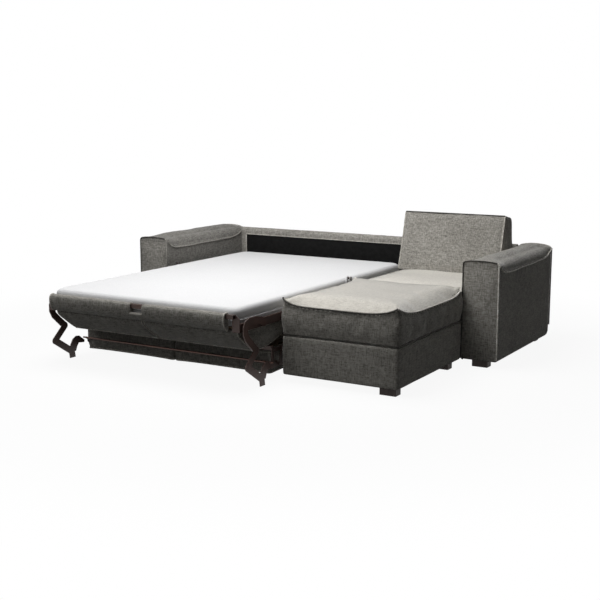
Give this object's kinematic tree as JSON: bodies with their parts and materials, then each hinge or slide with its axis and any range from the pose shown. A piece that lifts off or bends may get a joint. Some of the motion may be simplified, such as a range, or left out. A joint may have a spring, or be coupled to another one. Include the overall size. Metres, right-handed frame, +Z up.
{
  "type": "corner sofa bed",
  "caption": "Corner sofa bed shown unfolded: padded arms, chaise with a separate pouf, and a sectioned bed whose cushions ride upside down under the mattress.",
  "frame": {"origin": "on the floor, at the middle of the footprint of the sofa with its bed unfolded", "axes": "+X towards the chaise end, +Y towards the rear, +Z up"},
  "size_m": [2.55, 2.155, 0.8003],
  "materials": {
    "upholstery": "coarse woven melange, grey and taupe yarns",
    "rear_fabric": "the same weave, flat on the rear",
    "felt": "black non-woven felt",
    "mattress_fabric": "smooth white knitted ticking, grey border",
    "brown_steel": "dark brown powder coat, satin",
    "pine": "plain sawn softwood and bent ply",
    "dark_wood": "dark brown stained block"
  },
  "bodies": {
    "sofa": {"left_arm_casing": "upholstery", "left_arm_pad": "upholstery", "right_arm_casing": "upholstery", "right_arm_pad": "upholstery", "rear_cover": "rear_fabric", "back_panel": "pine", "back_lining": "felt", "back_rail": "upholstery", "back_post": "upholstery", "sofa_feet": "dark_wood", "chaise_base": "upholstery", "chaise_seat_cushion": "upholstery", "chaise_back_cushion": "upholstery", "left_batten": "pine", "right_batten": "pine", "left_side_plate": "brown_steel", "right_side_plate": "brown_steel", "rear_beam": "pine", "plate_bolts": "brown_steel", "swing_pins": "brown_steel"},
    "pouf": {"pouf_base": "upholstery", "pouf_cushion": "upholstery", "pouf_feet": "dark_wood"},
    "rear_links": {"left_rear_link": "brown_steel", "right_rear_link": "brown_steel"},
    "front_links": {"left_front_link": "brown_steel", "right_front_link": "brown_steel"},
    "head_section": {"left_head_rail": "brown_steel", "right_head_rail": "brown_steel", "head_tubes": "brown_steel", "head_slats": "pine", "head_mattress": "mattress_fabric", "head_pins": "brown_steel"},
    "middle_section": {"left_middle_rail": "brown_steel", "right_middle_rail": "brown_steel", "middle_tubes": "brown_steel", "middle_slats": "pine", "middle_mattress": "mattress_fabric", "middle_pins": "brown_steel"},
    "parallel_links": {"left_parallel_link": "brown_steel", "right_parallel_link": "brown_steel"},
    "foot_section": {"left_foot_rail": "brown_steel", "right_foot_rail": "brown_steel", "foot_tubes": "brown_steel", "foot_slats": "pine", "foot_mattress": "mattress_fabric", "end_tube": "brown_steel", "foot_roll": "upholstery", "left_back_cushion": "upholstery", "right_back_cushion": "upholstery", "leg_pins": "brown_steel"},
    "seat_frame": {"left_seat_plate": "brown_steel", "right_seat_plate": "brown_steel", "seat_tubes": "brown_steel", "seat_slats_set": "pine", "seat_rod": "brown_steel", "left_seat_cushion": "upholstery", "right_seat_cushion": "upholstery"},
    "legs": {"left_leg": "brown_steel", "right_leg": "brown_steel"}
  },
  "joints": [
    {"name": "rear_link_swing", "type": "hinge", "parent": "sofa", "child": "rear_links", "pos_m": [-0.3465, 0.8875, 0.185], "axis": [1, 0, 0], "range_deg": [0, 60]},
    {"name": "front_link_swing", "type": "hinge", "parent": "sofa", "child": "front_links", "pos_m": [-0.3465, 0.5375, 0.185], "axis": [1, 0, 0], "range_deg": [0, 60]},
    {"name": "head_level", "type": "hinge", "parent": "front_links", "child": "head_section", "pos_m": [-0.3465, 0.27769, 0.335], "axis": [-1, 0, 0], "range_deg": [0, 60]},
    {"name": "bed_fold", "type": "hinge", "parent": "head_section", "child": "middle_section", "pos_m": [-0.3465, 0.1775, 0.447], "axis": [-1, 0, 0], "range_deg": [0, 180]},
    {"name": "foot_fold", "type": "hinge", "parent": "middle_section", "child": "foot_section", "pos_m": [-0.3465, -0.5405, 0.308], "axis": [1, 0, 0], "range_deg": [0, 90]},
    {"name": "parallel_swing", "type": "hinge", "parent": "middle_section", "child": "parallel_links", "pos_m": [-0.3465, -0.2405, 0.308], "axis": [1, 0, 0], "range_deg": [0, 90]},
    {"name": "seat_level", "type": "hinge", "parent": "foot_section", "child": "seat_frame", "pos_m": [-0.3465, -0.643, 0.0875], "axis": [-1, 0, 0], "range_deg": [0, 90]},
    {"name": "leg_fold", "type": "hinge", "parent": "foot_section", "child": "legs", "pos_m": [-0.3465, -0.8225, 0.3425], "axis": [1, 0, 0], "range_deg": [0, 30]},
    {"name": "pouf_slide", "type": "slide", "parent": "sofa", "child": "pouf", "axis": [0, -1, 0], "range_m": [0, 0.5]}
  ],
  "couplings": [
    {"joint": "rear_link_swing", "follows": "bed_fold", "ratio": 0.33333},
    {"joint": "front_link_swing", "follows": "bed_fold", "ratio": 0.33333},
    {"joint": "head_level", "follows": "bed_fold", "ratio": 0.33333},
    {"joint": "foot_fold", "follows": "bed_fold", "ratio": 0.5},
    {"joint": "parallel_swing", "follows": "bed_fold", "ratio": 0.5},
    {"joint": "seat_level", "follows": "bed_fold", "ratio": 0.5},
    {"joint": "leg_fold", "follows": "bed_fold", "ratio": 0.16667}
  ]
}
